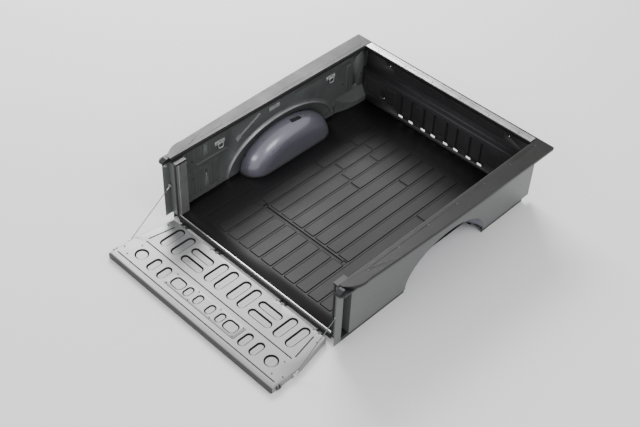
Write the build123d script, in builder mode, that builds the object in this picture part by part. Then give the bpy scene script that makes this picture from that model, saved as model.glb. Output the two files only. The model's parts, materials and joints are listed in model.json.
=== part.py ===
"""Lining set for a pickup bed: ribbed floor mat, corrugated floor pan, side panels, wheel-well covers,
bulkhead, rail caps, tie-downs and a drop-down tailgate on cables.

Millimetres. X runs across the bed, positive to the right-hand side. Y runs forward, from the rear edge
of the mat at Y = 0 to the bulkhead. Z is up, and the floor pan stands on Z = 0.
Right-hand pieces are drawn, and left-hand pieces are their mirror images about the plane X = 0.
"""

import os

from build123d import *

os.makedirs("parts", exist_ok=True)

# ---- driving dimensions ----
bed_length = 2040.0  # rear edge of the mat to the bulkhead
bed_width = 1700.0  # side wall to side wall
rear_opening = 1564.0  # between the two rear posts
bed_depth = 536.0  # top of the mat to the top of the rails
pan_depth = 38.0  # corrugated floor pan
mat_thickness = 10.0
sheet = 4.0  # moulded plastic sheet
metal = 3.0  # pressed metal sheet
gap = 0.5  # between neighbouring pieces of one body
tailgate_width = 1676.0
tailgate_reach = 610.0  # from the rear edge of the mat to the tailgate's outer edge

# ---- levels and lines worked out from them ----
half_width = bed_width / 2
half_opening = rear_opening / 2
half_gate = tailgate_width / 2
mat_top = pan_depth + mat_thickness
rail_top = mat_top + bed_depth
flange_top = rail_top - sheet - gap  # top of the side panels and the bulkhead, under their caps
panel_front = bed_length + 60

# ---- wheel well: a half ellipse in side view, rounded towards the bed ----
well_middle = 1105.0
well_half_length = 446.0
well_height = 286.0  # above the floor pan
well_inner_face = 680.0
well_rounding = 130.0
arch_half_length = 596.0  # bright trim around the wheel arch
arch_height = 366.0


# ---- rear post, jamb and front foot of the side panel ----
post_front = 100.0
jamb_face = 862.0
jamb_rear = -60.0
foot_start = 1712.0
foot_inner = 800.0
foot_height = 150.0

# ---- rails ----
rail_inner = 830.0
rail_outer = 978.0  # at the bulkhead; the rail narrows towards the rear and its end is rounded off
rail_rear = -8.0
rail_front = 2104.0
rail_lip = 28.0
cap_base = 15.0  # base plate of the end cap, on top of the rear post
post_top = rail_top - rail_lip - cap_base - 2 * gap
ledge_height = mat_top + 300  # bulkhead ledge
cap_rear = bed_length - 22

# ---- tailgate hinge ----
hinge_y = -45.0
hinge_z = 20.0
pin_radius = 6.0
running_clearance = 0.05
hinge_stations = {"outer_left": -700.0, "inner_left": -340.0, "inner_right": 340.0, "outer_right": 700.0}
ear_offset = 23.0  # middle of a bracket ear from the middle of its station
ear_thickness = 6.0
ear_radius = 11.0
knuckle_radius = 10.0

# ---- tailgate, lying open ----
gate_top = 46.0
gate_near = -50.0
tray_far = -(tailgate_reach - 12)
gate_slant = 55.0  # how far the tailgate's ends slant in towards the hinge
slant_end = -340.0
access_half_width = 360.0
access_near = -376.0
access_far = -506.0

# ---- latches, strikers, handle and rods ----
latch_y = -545.0
latch_z = 26.0
striker_radius = 4.5
handle_y = -472.0  # pivot of the paddle
handle_z = 7.0
handle_half = 95.0
cup_half = 105.0
cup_far = -545.0
cup_near = -462.0
rod_radius = 4.0
rod_y = -556.0

# ---- support cables ----
cable_x = 849.0
cable_radius = 3.0
cable_top = (-14.0, mat_top + 270)
cable_foot = (-410.0, 26.0)
stud_radius = 5.0
eye_radius = 11.0

# ---- tie-downs: name, distance along the wall, height ----
tie_downs = {"rear": (472.0, 454.0), "front": (1651.0, 450.0)}
ring_wire = 4.0
ring_offset = 14.0  # ring pivot from the wall
ring_half_width = 26.0
ring_drop = 46.0

SIDES = {"left": -1, "right": 1}


def export(piece, name):
    """Labels one finished piece and writes its STEP file."""
    piece.label = name
    export_step(piece, f"parts/{name}.step")


def export_pair(piece, name, ending=""):
    """Writes the right-hand piece and its mirror image for the left side."""
    export(mirror(piece, about=Plane.YZ), f"{name}_left{ending}")
    export(piece, f"{name}_right{ending}")


def both_sides(points):
    """The given points of the right half, and their mirror images."""
    return [(side * point[0], *point[1:]) for side in SIDES.values() for point in points]


# ======================================================================
# Floor: corrugated pan, ribbed mat, sill strip
# ======================================================================

valley_pitch = 118.0
valley_floor_half = 28.0
valley_slope = 12.0
valley_count = 13
pan_rear = -4.5
pan_half = half_width - 5
pan_leg = pan_half - sheet


def pan_line(level, valley_level, widen):
    """The corrugated line across the pan at one face of its sheet, from left to right."""
    points = []
    for column in range(valley_count):
        centre = (column - (valley_count - 1) / 2) * valley_pitch
        low = valley_floor_half + widen
        high = low + valley_slope
        points += [(centre - high, level), (centre - low, valley_level)]
        points += [(centre + low, valley_level), (centre + high, level)]
    return points


with BuildPart() as floor_pan:
    with BuildSketch(Plane.XZ.offset(-pan_rear)):
        with BuildLine():
            upper = [(-pan_half, pan_depth), *pan_line(pan_depth, sheet, 0), (pan_half, pan_depth)]
            under = pan_depth - sheet
            lower = [(-pan_leg, under), *pan_line(under, 0, sheet / 4), (pan_leg, under)]
            legs = [(pan_half, 0), (pan_leg, 0), *reversed(lower), (-pan_leg, 0), (-pan_half, 0)]
            Polyline(*upper, *legs, close=True)
        make_face()
    extrude(amount=-(bed_length - pan_rear))
    with BuildSketch(Plane.XY):  # the truck's wheelhouses stand in these openings
        with Locations(*both_sides([(well_inner_face + 106, well_middle)])):
            Rectangle(190, 2 * well_half_length - 20)
    extrude(amount=pan_depth, mode=Mode.SUBTRACT)
    with BuildSketch(Plane.XZ.offset(-pan_rear)):  # rear flange that carries the hinge brackets
        with Locations((0, pan_depth / 2)):
            Rectangle(rear_opening - 8, pan_depth)
    extrude(amount=-sheet)
export(floor_pan.part, "floor_pan")

mat_half = half_width - 7
rib_pitch = valley_pitch  # broad flat ribs with narrow drain channels between them
rib_width = 94.0
rib_height = 3.0
rib_start = 130.0
rib_end = 1800.0
rib_columns = 6  # each side of the middle one
band_centre = 540.0
band_half = 16.0


def foot_outline(grow):
    """Plan of the foot at the front of the right-hand wall, grown by a margin."""
    inner = foot_inner - grow
    start = foot_start - grow
    outside = half_width + 1
    knee = (inner + 6, start + 170)
    with BuildSketch() as outline:
        with BuildLine():
            Spline((outside, start), knee, tangents=[(-0.5, 1), (-0.12, 1)])
            Polyline(knee, (inner, start + 230), (inner, bed_length), (outside, bed_length), (outside, start))
        make_face()
    return outline.sketch


with BuildPart() as floor_mat:
    with BuildSketch(Plane.XY.offset(pan_depth)):
        with Locations((0, (bed_length - 2) / 2)):
            Rectangle(2 * mat_half, bed_length - 2)
        with Locations(*both_sides([(half_opening + 40, post_front / 2)])):
            Rectangle(90, post_front + 8, mode=Mode.SUBTRACT)
        with Locations(*both_sides([(well_inner_face + 144, well_middle)])):
            RectangleRounded(300, 2 * well_half_length + 16, well_rounding + 8, mode=Mode.SUBTRACT)
        add(foot_outline(2), mode=Mode.SUBTRACT)
        add(mirror(foot_outline(2), about=Plane.YZ), mode=Mode.SUBTRACT)
    extrude(amount=mat_thickness)
    with BuildSketch(Plane.XY.offset(mat_top)):
        for column in range(-rib_columns, rib_columns + 1):
            x = column * rib_pitch
            spans = [(rib_start, band_centre - band_half), (band_centre + band_half, rib_end)]
            if abs(x) > well_inner_face - rib_width:
                spans = [(rib_start, band_centre - band_half), (well_middle + well_half_length + 30, rib_end)]
            for low, high in spans:
                with Locations((x, (low + high) / 2)):
                    Rectangle(rib_width, high - low)
    extrude(amount=rib_height)
export(floor_mat.part, "floor_mat")

# ---- sill strip that holds the mat's rear edge down ----
sill_front = 16.0
sill_rear = -9.0
sill_leg = 26.0
sill_top = mat_top + 3.5
sill_screw_line = 11.5
sill_screw_places = [(x, sill_screw_line) for x in range(-700, 701, 200)]
with BuildPart() as sill_strip:
    with BuildSketch(Plane.YZ.offset(-half_opening + sheet)):
        with BuildLine():
            tread = [(sill_front, mat_top), (sill_front, sill_top - 1), (sill_front - 3, sill_top)]
            groove = [(7, sill_top), (7, sill_top - 2), (2, sill_top - 2), (2, sill_top)]
            leg = [(sill_rear, sill_top), (sill_rear, sill_leg), (sill_rear + 4, sill_leg)]
            Polyline(*tread, *groove, *leg, (sill_rear + 4, mat_top), close=True)
        make_face()
    extrude(amount=rear_opening - 2 * sheet)
    with Locations(*[Location((x, y, sill_top)) for x, y in sill_screw_places]):
        CounterSinkHole(radius=2.0, counter_sink_radius=3.6)
export(sill_strip.part, "sill_strip")

with BuildPart() as sill_screws:
    with Locations(*[(x, y, mat_top) for x, y in sill_screw_places]):
        Cylinder(1.9, sill_top - mat_top - 0.5, align=(Align.CENTER, Align.CENTER, Align.MIN))
export(sill_screws.part, "sill_screws")

# ======================================================================
# Side lining
# ======================================================================

wall_bolt_radius = 4.5
wall_bolt_places = [(y, z) for y in (330, 1950) for z in (230, 500)]
flange_rear = post_front + 60
clip_places = [(200, 250), (200, 420), (560, 530), (1105, 530), (1500, 530), (1800, 300), (2020, 300)]


def half_ellipse(half_length, height):
    """Side view of a wheel well: a half ellipse standing on the floor pan."""
    with BuildSketch() as outline:
        with Locations((well_middle, pan_depth)):
            Ellipse(half_length, height)
        with Locations((well_middle, pan_depth - height / 2)):
            Rectangle(2 * half_length + 2, height, mode=Mode.SUBTRACT)
    return outline.sketch


def foot_block(grow, height):
    """Solid foot with a top that slopes down towards the bed."""
    with BuildPart() as block:
        with BuildSketch(Plane.XY.offset(pan_depth)):
            add(foot_outline(grow))
        extrude(amount=2 * height)
        slope = Plane(origin=(half_width, 0, pan_depth + height), x_dir=(0, 1, 0), z_dir=(-2, 0, 1))
        split(bisect_by=slope, keep=Keep.BOTTOM)
    return block.part


with BuildPart() as side_panel:
    with BuildSketch(Plane.XY.offset(pan_depth)):  # rear post and jamb
        with BuildLine():
            shown = [(half_width, post_front), (half_opening, post_front), (half_opening, 0), (jamb_face, 0)]
            jamb = [(jamb_face, jamb_rear), (jamb_face + sheet, jamb_rear), (jamb_face + sheet, sheet)]
            hidden = [(half_opening + sheet, sheet), (half_opening + sheet, post_front - sheet)]
            Polyline(*shown, *jamb, *hidden, (half_width, post_front - sheet), close=True)
        make_face()
    extrude(amount=post_top - pan_depth)
    with BuildSketch(Plane.YZ.offset(half_width)):  # wall around the wheel arch
        with Locations(((post_front - sheet + panel_front) / 2, (pan_depth + flange_top) / 2)):
            Rectangle(panel_front - post_front + sheet, flange_top - pan_depth)
        add(half_ellipse(well_half_length - 8, well_height - 8), mode=Mode.SUBTRACT)
        with Locations(*wall_bolt_places):
            Circle(wall_bolt_radius, mode=Mode.SUBTRACT)
    extrude(amount=sheet)
    with BuildSketch(Plane.XY.offset(flange_top - sheet)):  # flange under the rail cap
        with Locations((half_width + 30, (flange_rear + panel_front) / 2)):
            Rectangle(56, panel_front - flange_rear)
    extrude(amount=sheet)
    with BuildSketch(Plane.YZ.offset(half_width)):  # swage and stiffening ribs, proud of the wall
        with Locations((390, 358)):
            SlotOverall(296, 16)
        with Locations((1712, 510)):
            RectangleRounded(46, 60, 10)
        with Locations((1868, 336)):
            RectangleRounded(56, 245, 12)
    extrude(amount=-6)
    add(foot_block(0, foot_height))
    add(foot_block(-sheet, foot_height - sheet), mode=Mode.SUBTRACT)
export_pair(side_panel.part, "side_panel")


def well_body(inner_face, outer_face, half_length, height, rounding):
    """Solid wheel well between two planes of constant X, rounded towards the bed."""
    with BuildPart() as body:
        with BuildSketch(Plane.YZ.offset(inner_face)):
            add(half_ellipse(half_length, height))
        extrude(amount=outer_face - inner_face)
        fillet(body.edges().group_by(Axis.X)[0].filter_by(GeomType.ELLIPSE), radius=rounding)
    return body.part


with BuildPart() as wheel_well_cover:
    add(well_body(well_inner_face, half_width - gap, well_half_length, well_height, well_rounding))
    hollow_sizes = (well_half_length - sheet, well_height - sheet, well_rounding - sheet)
    add(well_body(well_inner_face + sheet, half_width, *hollow_sizes), mode=Mode.SUBTRACT)
export_pair(wheel_well_cover.part, "wheel_well_cover")

arch_band = 30.0
with BuildPart() as wheel_arch_trim:
    with BuildSketch(Plane.YZ.offset(half_width - gap)):
        add(half_ellipse(arch_half_length, arch_height))
        add(half_ellipse(arch_half_length - arch_band, arch_height - arch_band), mode=Mode.SUBTRACT)
        with Locations((well_middle, pan_depth)):
            Rectangle(3 * well_half_length, 2 * mat_thickness + 4, mode=Mode.SUBTRACT)
    extrude(amount=-3)
    with BuildSketch(Plane.YZ.offset(half_width - gap)):  # lip that stands out along the inner edge
        add(half_ellipse(arch_half_length - arch_band + 4, arch_height - arch_band + 4))
        add(half_ellipse(arch_half_length - arch_band, arch_height - arch_band), mode=Mode.SUBTRACT)
        with Locations((well_middle, pan_depth)):
            Rectangle(3 * well_half_length, 2 * mat_thickness + 4, mode=Mode.SUBTRACT)
    extrude(amount=-13)
export_pair(wheel_arch_trim.part, "wheel_arch_trim")

trim_bottom = sill_top + 2
trim_top = post_top - 2
with BuildPart() as rear_post_trim:
    with BuildSketch(Plane.XY.offset(trim_bottom)):
        with BuildLine():
            face = half_opening - gap
            Polyline(
                (face, 4),
                (face, post_front - 6),
                (face - 2, post_front - 6),
                (face - 2, 40),
                (face - 5, 34),
                (face - 5, 22),
                (face - 2, 16),
                (face - 2, 4),
                close=True,
            )
        make_face()
    extrude(amount=trim_top - trim_bottom)
export_pair(rear_post_trim.part, "rear_post_trim")

with BuildPart() as post_seal:
    with BuildSketch(Plane.XY.offset(trim_bottom)):
        with Locations((half_opening + 10, -4.5)):
            RectangleRounded(14, 8, 3.5)
    extrude(amount=trim_top - trim_bottom)
export_pair(post_seal.part, "post_seal")

brace_middle = (761, 440)
brace_tilt = 27.0
brace_tab = (654, 387)
upper_bracket = (1030, 484)
with BuildPart() as side_brace:
    with BuildSketch(Plane.YZ.offset(half_width - gap)):  # slanting bar with round ends
        with Locations(brace_middle):
            SlotOverall(270, 16, rotation=brace_tilt)
        with Locations(upper_bracket):  # short plate under the rail
            RectangleRounded(110, 34, 5)
    extrude(amount=-4)
    with BuildSketch(Plane.YZ.offset(half_width - gap)):  # tab at the bar's low end, lug on the plate
        with Locations(brace_tab):
            with Locations(Rotation(0, 0, brace_tilt)):
                RectangleRounded(46, 30, 5)
        with Locations((upper_bracket[0] + 42, upper_bracket[1])):
            RectangleRounded(22, 26, 5)
    extrude(amount=-9)
export_pair(side_brace.part, "side_brace")

with BuildPart() as side_panel_clips:
    for side in SIDES.values():
        for y, z in clip_places:
            face = Plane(origin=(side * half_width, y, z), z_dir=(-side, 0, 0))
            with BuildSketch(face):
                Circle(8)
            extrude(amount=2.5)
export(side_panel_clips.part, "side_panel_clips")

# ---- tie-downs: base plate with two lugs, a ring swinging in them, and its bolts ----
lug_thickness = 6.0
lug_middle = 12.0  # from the middle of the ring
lug_radius = 8.0
plate_thickness = 3.0
plate_size = (98.0, 38.0)
bolt_middle = 39.0

for place, (y, z) in tie_downs.items():
    wall = Plane(origin=(half_width, y, z), x_dir=(0, 1, 0), z_dir=(-1, 0, 0))
    with BuildPart() as tie_down_plate:
        with BuildSketch(wall):
            RectangleRounded(*plate_size, 8)
        extrude(amount=plate_thickness)
        with BuildSketch(*[Plane.XZ.offset(-(y + step * lug_middle)) for step in (-1, 1)]):
            with Locations((half_width - ring_offset, z)):
                Circle(lug_radius)
            with Locations((half_width - ring_offset / 2, z)):
                Rectangle(ring_offset, 2 * lug_radius)
        extrude(amount=lug_thickness / 2, both=True)
        pivot = Plane(origin=(half_width - ring_offset, y, z), z_dir=(0, 1, 0))
        with BuildSketch(pivot):
            Circle(ring_wire + running_clearance)
        extrude(amount=2 * lug_middle, both=True, mode=Mode.SUBTRACT)
    export_pair(tie_down_plate.part, "tie_down_plate", f"_{place}")

    hanging = Plane(origin=(half_width - ring_offset, y, z), x_dir=(0, 1, 0), z_dir=(-1, 0, 0))
    with BuildPart() as tie_down_ring:
        with BuildLine(hanging) as ring_line:
            bar = [(-ring_half_width, 0), (ring_half_width, 0)]
            bow = [(ring_half_width - 6, ring_drop), (6 - ring_half_width, ring_drop)]
            FilletPolyline(*bar, *bow, radius=8, close=True)
        with BuildSketch(Plane(origin=ring_line.line @ 0, z_dir=ring_line.line % 0)):
            Circle(ring_wire)
        sweep()
    export_pair(tie_down_ring.part, "tie_down_ring", f"_{place}")

with BuildPart() as tie_down_bolts:
    for side in SIDES.values():
        for y, z in tie_downs.values():
            for step in (-1, 1):
                seat = (side * (half_width - plate_thickness), y + step * bolt_middle, z)
                with BuildSketch(Plane(origin=seat, z_dir=(-side, 0, 0))):
                    RegularPolygon(radius=8, side_count=6)
                extrude(amount=5)
export(tie_down_bolts.part, "tie_down_bolts")

# ======================================================================
# Bulkhead
# ======================================================================

drain_places = [65.0, 170.0, 300.0, 410.0]
drain_size = (45.0, 22.0)
drain_height = mat_top + 45
groove_top = mat_top + 257
bulkhead_step = 46.0
bulkhead_bolt_places = [(x, z) for x in (-600, 600) for z in (170, 470)]
bulkhead_half = half_width - gap

with BuildPart() as bulkhead_panel:
    with BuildSketch(Plane.YZ.offset(-bulkhead_half)):
        with BuildLine():
            low, high = bed_length, bed_length + bulkhead_step
            shown = [(low, pan_depth), (low, ledge_height), (high, ledge_height + 6), (high, flange_top)]
            back = [(high + sheet, flange_top), (high + sheet, ledge_height + 2)]
            foot = [(low + sheet, ledge_height - 4), (low + sheet, pan_depth)]
            Polyline(*shown, *back, *foot, close=True)
        make_face()
    extrude(amount=2 * bulkhead_half)
    with BuildSketch(Plane.XZ.offset(-bed_length)):
        with Locations(*both_sides([(x, drain_height) for x in drain_places])):
            RectangleRounded(*drain_size, 6)
    extrude(amount=-sheet, mode=Mode.SUBTRACT)
    with BuildSketch(Plane.XZ.offset(-bed_length)):  # upright grooves above the drain openings
        for x, z in both_sides([(x, (drain_height + groove_top) / 2 + 12) for x in drain_places]):
            with Locations((x, z)):
                SlotOverall(groove_top - drain_height - 24, 14, rotation=90)
    extrude(amount=-sheet / 2, mode=Mode.SUBTRACT)
    with BuildSketch(Plane.XZ.offset(-bed_length)):
        with Locations(*bulkhead_bolt_places):
            Circle(wall_bolt_radius)
        with Locations(*both_sides([(half_width, rail_top - rail_lip / 2)])):  # room for the rail caps
            Rectangle(2 * (half_width - rail_inner) + 1, rail_lip + 1)
    extrude(amount=-2 * bulkhead_step, mode=Mode.SUBTRACT)
export(bulkhead_panel.part, "bulkhead_panel")

cap_half = rail_inner - gap
with BuildPart() as bulkhead_cap:
    with BuildSketch(Plane.YZ.offset(-cap_half)):
        with BuildLine():
            front_lip = [(rail_front, rail_top - rail_lip), (rail_front, rail_top), (cap_rear + 3, rail_top)]
            rear_lip = [(cap_rear, rail_top - 3), (cap_rear, rail_top - rail_lip)]
            inside = [(cap_rear + sheet, rail_top - rail_lip), (cap_rear + sheet, rail_top - sheet)]
            under = [(rail_front - sheet, rail_top - sheet), (rail_front - sheet, rail_top - rail_lip)]
            Polyline(*front_lip, *rear_lip, *inside, *under, close=True)
        make_face()
    extrude(amount=2 * cap_half)
export(bulkhead_cap.part, "bulkhead_cap")

strip_half = cap_half - 8
strip_depth = 60.0
strip_middle = cap_rear + 38
tooth_pitch = 16.0
tooth_count = 99
with BuildPart() as bulkhead_trim_strip:
    with BuildSketch(Plane.YZ.offset(-strip_half)):
        with Locations((strip_middle, rail_top + 1.5)):
            Rectangle(strip_depth, 3)
    extrude(amount=2 * strip_half)
    with BuildSketch(Plane.XY.offset(rail_top + 3)):  # row of short cross ribs along the front
        with Locations((0, strip_middle + 15)):
            with GridLocations(tooth_pitch, 1, tooth_count, 1):
                Rectangle(tooth_pitch / 2, 26)
    extrude(amount=2)
export(bulkhead_trim_strip.part, "bulkhead_trim_strip")

with BuildPart() as bulkhead_screws:
    with Locations(*[(x, strip_middle - 12, rail_top + 3) for x in range(-700, 701, 280)]):
        Cylinder(5, 2, align=(Align.CENTER, Align.CENTER, Align.MIN))
export(bulkhead_screws.part, "bulkhead_screws")

# ======================================================================
# Rails
# ======================================================================


rail_recess = 2.5  # the screw heads lie below the rail's top
rail_screw_places = [(rail_inner + 40, y) for y in range(220, 2080, 300)]


def rail_plan(inset):
    """Plan of the right-hand rail cap, drawn in from its outline by an inset."""
    inner, rear, front = rail_inner + inset, rail_rear + inset, rail_front - inset
    outer, bend, corner = (rail_outer - inset, front), (932 - inset, 180), (rail_inner + 30, rear)
    with BuildSketch() as plan:
        with BuildLine():
            ThreePointArc(outer, (965 - inset, 1150), bend)
            ThreePointArc(bend, (910 - inset, 50), corner)
            Polyline(corner, (inner, rear), (inner, front), outer)
        make_face()
    return plan.sketch


with BuildPart() as rail_cap:
    with BuildSketch(Plane.XY.offset(rail_top - rail_lip)):
        add(rail_plan(0))
    extrude(amount=rail_lip)
    chamfer(rail_cap.edges().group_by(Axis.Z)[-1].filter_by(Axis.Y), length=3)
    with BuildSketch(Plane.XY.offset(rail_top - rail_lip)):
        add(rail_plan(sheet))
    extrude(amount=rail_lip - sheet, mode=Mode.SUBTRACT)
    with Locations(*[Location((x, y, rail_top)) for x, y in rail_screw_places]):
        CounterBoreHole(radius=2.2, counter_bore_radius=5.5, counter_bore_depth=rail_recess, depth=sheet)
export_pair(rail_cap.part, "rail_cap")

cap_outer = 914.0
with BuildPart() as rail_end_cap:
    with BuildSketch(Plane.XY.offset(post_top + gap)):  # base plate over the post and the jamb
        with BuildLine():
            step, tip, front = jamb_face - 16, jamb_rear - 6, post_front - sheet - 1
            inner = [(half_opening - 6, front), (half_opening - 6, -5), (step, -5), (step, tip)]
            Polyline(*inner, (cap_outer - 22, tip), (cap_outer, tip + 26), (cap_outer, front), close=True)
        make_face()
    extrude(amount=cap_base)
    with BuildSketch(Plane.YZ.offset(step)):  # nose that closes the rail's end and slopes down to the rear
        with BuildLine():
            near, far, seat = rail_rear - gap, tip + 3, post_top + cap_base
            nose = [(near, rail_top - 6), (near - 22, rail_top - 6), (far, rail_top - 22)]
            Polyline(*nose, (far, seat), (near, seat), close=True)
        make_face()
    extrude(amount=cap_outer - 24 - step)
export_pair(rail_end_cap.part, "rail_end_cap")

with BuildPart() as rail_cap_screws:
    with Locations(*both_sides([(x, y, rail_top - rail_recess) for x, y in rail_screw_places])):
        Cylinder(5, 2.2, align=(Align.CENTER, Align.CENTER, Align.MIN))
export(rail_cap_screws.part, "rail_cap_screws")

# ======================================================================
# Tailgate hinge and closing hardware on the bed
# ======================================================================

bracket_rear = pan_rear - gap - sheet
bracket_plate = (64.0, 22.0)
for station, x in hinge_stations.items():
    with BuildPart() as hinge_bracket:
        with BuildSketch(Plane.XZ.offset(-bracket_rear)):
            with Locations((x, 13)):
                RectangleRounded(*bracket_plate, 3)
        extrude(amount=-sheet)
        with BuildSketch(*[Plane.YZ.offset(x + step * ear_offset) for step in (-1, 1)]):
            with BuildLine():
                Polyline(
                    (bracket_rear, 2.5),
                    (bracket_rear, 23.5),
                    (hinge_y, hinge_z + ear_radius),
                    (hinge_y, hinge_z - ear_radius),
                    close=True,
                )
            make_face()
            with Locations((hinge_y, hinge_z)):
                Circle(ear_radius)
                Circle(pin_radius + running_clearance, mode=Mode.SUBTRACT)
        extrude(amount=ear_thickness / 2, both=True)
    export(hinge_bracket.part, f"hinge_bracket_{station}")

with BuildPart() as hinge_bracket_bolts:
    for x in hinge_stations.values():
        for step in (-1, 1):
            with BuildSketch(Plane.XZ.offset(-bracket_rear)):
                with Locations((x + step * 8, 13)):
                    RegularPolygon(radius=6, side_count=6)
            extrude(amount=4)
export(hinge_bracket_bolts.part, "hinge_bracket_bolts")

closed_latch = (hinge_y + latch_z - hinge_z, hinge_z + hinge_y - latch_y)
with BuildPart() as latch_striker:
    with BuildSketch(Plane.YZ.offset(jamb_face)):
        with Locations(closed_latch):
            Circle(14)
    extrude(amount=-3)
    with BuildSketch(Plane.YZ.offset(jamb_face)):
        with Locations(closed_latch):
            Circle(striker_radius)
    extrude(amount=-(jamb_face - half_gate - 5))
export_pair(latch_striker.part, "latch_striker")

with BuildPart() as cable_anchor:
    with BuildSketch(Plane.YZ.offset(jamb_face)):
        with Locations(cable_top):
            Circle(stud_radius)
    extrude(amount=-(jamb_face - cable_x + 4))
    with BuildSketch(Plane.YZ.offset(jamb_face)):
        with Locations(cable_top):
            RegularPolygon(radius=10, side_count=6)
    extrude(amount=-6)
    with BuildSketch(Plane.YZ.offset(cable_x - 4)):
        with Locations(cable_top):
            Circle(9)
    extrude(amount=-3)
export_pair(cable_anchor.part, "cable_anchor")

with BuildPart() as support_cable:
    for place in (cable_top, cable_foot):
        with BuildSketch(Plane.YZ.offset(cable_x)):
            with Locations(place):
                Circle(eye_radius)
        extrude(amount=cable_radius, both=True)
    run = Edge.make_line((cable_x, *cable_top), (cable_x, *cable_foot))
    with BuildSketch(Plane(origin=run @ 0, z_dir=run % 0)):
        Circle(cable_radius)
    extrude(amount=run.length)
    for place in (cable_top, cable_foot):
        with BuildSketch(Plane.YZ.offset(cable_x)):
            with Locations(place):
                Circle(stud_radius + 0.3)
        extrude(amount=2 * cable_radius, both=True, mode=Mode.SUBTRACT)
export_pair(support_cable.part, "support_cable")

# ======================================================================
# Tailgate
# ======================================================================

emboss = 1.5
long_slots = [65.0, 170.0, 528.0, 646.0]
cross_slots = [351.0]
cross_lines = [-150.0, -256.0]
round_places = [669.0]
short_slots = [420.0, 530.0]
notch_reach = -58.5
notch_width = 12.0
notch_offset = ear_offset + 2.5


def gate_outline(inset):
    """Plan of the tailgate's skins, drawn in by an inset; the ends slant in towards the hinge."""
    near, far, half = gate_near - inset, tray_far + inset, half_gate - inset
    with BuildSketch() as outline:
        with BuildLine():
            right = [(half - gate_slant, near), (half, slant_end), (half, far)]
            Polyline(*right, *[(-x, y) for x, y in reversed(right)], close=True)
        make_face()
        fillet(outline.vertices(), radius=6 - inset)
    return outline.sketch


with BuildPart() as tailgate_panel:
    with BuildSketch(Plane.XY.offset(metal + gap)):
        add(gate_outline(0))
    extrude(amount=gate_top - metal - gap)
    with BuildSketch(Plane.XY.offset(metal + gap)):
        add(gate_outline(metal))
    extrude(amount=gate_top - 2 * metal - gap, mode=Mode.SUBTRACT)
    with BuildSketch(Plane.XY.offset(gate_top)):  # pressed pockets in the upper face
        for x in long_slots:
            with Locations((x, -180), (-x, -180)):
                SlotOverall(215, 70, rotation=90)
        for x in cross_slots:
            for y in cross_lines:
                with Locations((x, y), (-x, y)):
                    SlotOverall(215, 70)
        for x in short_slots:
            with Locations((x, -440), (-x, -440)):
                SlotOverall(120, 62, rotation=90)
        for x in round_places:
            with Locations((x, -440), (-x, -440)):
                Circle(44)
    extrude(amount=-emboss, mode=Mode.SUBTRACT)
    with BuildSketch(Plane.XY.offset(gate_top)):  # opening under the access panel
        with Locations((0, (access_near + access_far) / 2)):
            Rectangle(2 * access_half_width - 40, access_near - access_far - 30)
    extrude(amount=-metal, mode=Mode.SUBTRACT)
    for x in hinge_stations.values():
        for step in (-1, 1):
            with BuildSketch(Plane.XY):  # room for a bracket ear
                with Locations((x + step * notch_offset, (gate_near + 1 + notch_reach) / 2)):
                    Rectangle(notch_width, gate_near + 1 - notch_reach)
            extrude(amount=gate_top, mode=Mode.SUBTRACT)
        with BuildSketch(Plane.YZ.offset(x)):  # knuckle and the tab that carries it
            with Locations((hinge_y, hinge_z)):
                Circle(knuckle_radius)
            with Locations(((hinge_y + gate_near - metal) / 2, hinge_z)):
                Rectangle(hinge_y - gate_near + metal, 2 * knuckle_radius - 4)
        extrude(amount=ear_offset - ear_thickness / 2 - 1, both=True)
        with BuildSketch(Plane.YZ.offset(x)):
            with Locations((hinge_y, hinge_z)):
                Circle(pin_radius + running_clearance)
        extrude(amount=ear_offset, both=True, mode=Mode.SUBTRACT)
export(tailgate_panel.part, "tailgate_panel")

with BuildPart() as hinge_pins:
    for x in hinge_stations.values():
        with BuildSketch(Plane.YZ.offset(x)):
            with Locations((hinge_y, hinge_z)):
                Circle(pin_radius)
        extrude(amount=ear_offset + ear_thickness / 2 + 2, both=True)
        with BuildSketch(Plane.YZ.offset(x - ear_offset - ear_thickness / 2 - 4)):
            with Locations((hinge_y, hinge_z)):
                Circle(9)
        extrude(amount=3)
export(hinge_pins.part, "hinge_pins")

cup_depth = 22.0
with BuildPart() as tailgate_back_panel:
    with BuildSketch(Plane.XY):
        add(gate_outline(0))
    extrude(amount=metal)
    with BuildSketch(Plane.XY):  # cup behind the release handle
        with Locations((0, (cup_near + cup_far) / 2)):
            Rectangle(2 * (cup_half + metal), cup_near - cup_far + 2 * metal)
    extrude(amount=cup_depth + metal)
    with BuildSketch(Plane.XY):
        with Locations((0, (cup_near + cup_far) / 2)):
            Rectangle(2 * cup_half, cup_near - cup_far)
    extrude(amount=cup_depth, mode=Mode.SUBTRACT)
    with BuildSketch(Plane.YZ.offset(-cup_half - metal)):  # bearings of the handle's trunnions
        with Locations((handle_y, handle_z)):
            Circle(3 + running_clearance)
    extrude(amount=2 * (cup_half + metal), mode=Mode.SUBTRACT)
export(tailgate_back_panel.part, "tailgate_back_panel")

with BuildPart() as release_handle:
    with BuildSketch(Plane.YZ.offset(-handle_half)):
        with BuildLine():
            Polyline(
                (handle_y, handle_z + 4.5),
                (handle_y - 4, handle_z + 5),
                (handle_y - 44, handle_z + 1),
                (handle_y - 52, handle_z + 7),
                (handle_y - 55, handle_z + 6),
                (handle_y - 50, 1),
                (handle_y, 1.5),
                close=True,
            )
        make_face()
        with Locations((handle_y, handle_z)):
            Circle(5.5)
    extrude(amount=2 * handle_half)
    with BuildSketch(Plane.YZ.offset(-cup_half - metal)):
        with Locations((handle_y, handle_z)):
            Circle(3)
    extrude(amount=2 * (cup_half + metal))
export(release_handle.part, "release_handle")

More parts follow.
